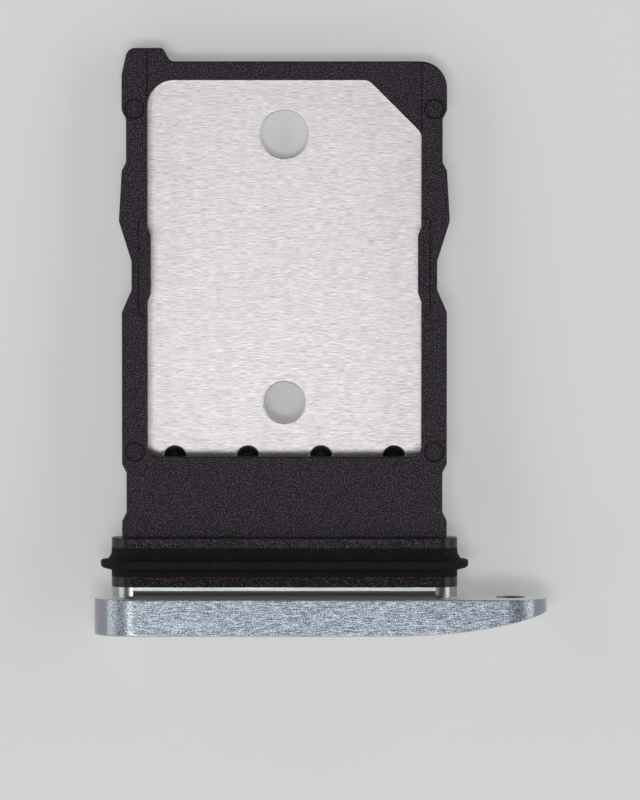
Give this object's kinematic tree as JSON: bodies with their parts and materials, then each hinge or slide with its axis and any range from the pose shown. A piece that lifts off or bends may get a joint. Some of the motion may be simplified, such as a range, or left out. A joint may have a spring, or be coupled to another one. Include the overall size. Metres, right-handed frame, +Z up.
{
  "type": "sim card tray",
  "caption": "Slide-out nano card tray of a phone: metal faceplate with an eject hole, lip seal, and a moulded frame round a brushed steel card floor.",
  "frame": {"origin": "on the tray's centreline, in the plane of the faceplate's rear face, at half the faceplate's height", "axes": "+X across the tray towards the eject hole, +Y from the faceplate towards the tip, the way the tray goes into the phone, +Z up on the card side"},
  "size_m": [0.015, 0.0193, 0.0026],
  "materials": {
    "faceplate": "bead-blasted sides, satin-polished outer face",
    "base_plate": "brushed across the tray",
    "frame": "matte, glass-filled, finely speckled",
    "seal": "smooth silicone"
  },
  "bodies": {
    "root": {"faceplate": "faceplate", "base_plate": "base_plate", "frame": "frame", "seal": "seal"}
  },
  "joints": []
}
